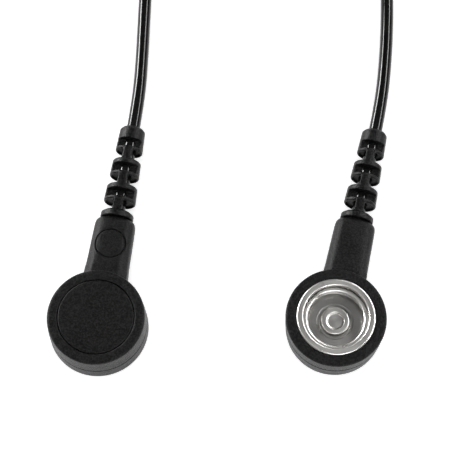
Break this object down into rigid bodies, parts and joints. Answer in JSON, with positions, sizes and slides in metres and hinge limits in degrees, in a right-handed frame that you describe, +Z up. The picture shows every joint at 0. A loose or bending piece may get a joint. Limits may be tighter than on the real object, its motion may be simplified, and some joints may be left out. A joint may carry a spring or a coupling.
{
  "type": "esd bonding cord with snap socket plugs",
  "caption": "Thin static-dissipative bonding cord with a moulded round snap socket plug and slotted strain relief on each end.",
  "frame": {"origin": "on the table, under the middle of the box round the two plugs' heads (discs and barrels), cord and strain reliefs left out", "axes": "+Z up, +X from the plug that lies socket down to the plug that lies socket up, +Y towards the cord's coil"},
  "size_m": [0.0576, 0.1122, 0.0099],
  "materials": {
    "housing_black": "fine moulded grain",
    "cover_black": "fine moulded grain",
    "relief_black": "soft moulded grain",
    "nickel": "bright nickel plate, lightly scratched",
    "spring_steel": "drawn wire",
    "tinned_brass": "dull tin over brass",
    "resistor_lacquer": "beige lacquer",
    "tinned_copper": "tinned wire",
    "core_insulation": "smooth",
    "cord_jacket": "glossy extruded PVC",
    "tie_black": "plastic over a flat wire"
  },
  "bodies": {
    "cord": {"left_cord": "cord_jacket", "right_cord": "cord_jacket", "cord_coil": "cord_jacket", "cord_tie": "tie_black"},
    "left_relief": {"left_strain_relief": "relief_black", "left_cord_core": "core_insulation", "left_held_cord": "cord_jacket"},
    "left_plug": {"left_front_housing": "housing_black", "left_rear_housing": "housing_black", "left_back_cover": "cover_black", "left_socket_shell": "nickel", "left_socket_rivet": "nickel", "left_solder_terminal": "tinned_brass", "left_resistor_body": "resistor_lacquer", "left_front_lead": "tinned_copper", "left_rear_lead": "tinned_copper", "left_crimp_ferrule": "tinned_copper"},
    "left_spring": {"left_ring_spring": "spring_steel"},
    "right_relief": {"right_strain_relief": "relief_black", "right_cord_core": "core_insulation", "right_held_cord": "cord_jacket"},
    "right_plug": {"right_front_housing": "housing_black", "right_rear_housing": "housing_black", "right_back_cover": "cover_black", "right_socket_shell": "nickel", "right_socket_rivet": "nickel", "right_solder_terminal": "tinned_brass", "right_resistor_body": "resistor_lacquer", "right_front_lead": "tinned_copper", "right_rear_lead": "tinned_copper", "right_crimp_ferrule": "tinned_copper"},
    "right_spring": {"right_ring_spring": "spring_steel"}
  },
  "joints": [
    {"name": "left_swing", "type": "hinge", "parent": "cord", "child": "left_relief", "pos_m": [-0.0144, 0.02552, 0.00367], "axis": [0, 0, 1], "range_deg": [-35, 20], "stiffness_Nm_per_rad": 0.01, "deforming": ["left_strain_relief", "left_cord_core", "left_held_cord"]},
    {"name": "left_lift", "type": "hinge", "parent": "left_relief", "child": "left_plug", "pos_m": [-0.0155, 0.01806, 0.00367], "axis": [-0.9893, 0.1461, 0], "range_deg": [0, 50], "stiffness_Nm_per_rad": 0.01, "deforming": ["left_strain_relief", "left_cord_core", "left_held_cord"]},
    {"name": "left_spring_turn", "type": "hinge", "parent": "left_plug", "child": "left_spring", "pos_m": [-0.01887, -0.0048, 0.0014], "axis": [0, 0, 1], "continuous": true},
    {"name": "right_swing", "type": "hinge", "parent": "cord", "child": "right_relief", "pos_m": [0.02567, 0.02509, 0.00343], "axis": [0, 0, 1], "range_deg": [-20, 35], "stiffness_Nm_per_rad": 0.01, "deforming": ["right_strain_relief", "right_cord_core", "right_held_cord"]},
    {"name": "right_lift", "type": "hinge", "parent": "right_relief", "child": "right_plug", "pos_m": [0.024, 0.01774, 0.00343], "axis": [-0.9751, 0.2215, 0], "range_deg": [0, 50], "stiffness_Nm_per_rad": 0.01, "deforming": ["right_strain_relief", "right_cord_core", "right_held_cord"]},
    {"name": "right_spring_turn", "type": "hinge", "parent": "right_plug", "child": "right_spring", "pos_m": [0.01887, -0.0048, 0.0057], "axis": [0, 0, 1], "continuous": true}
  ]
}
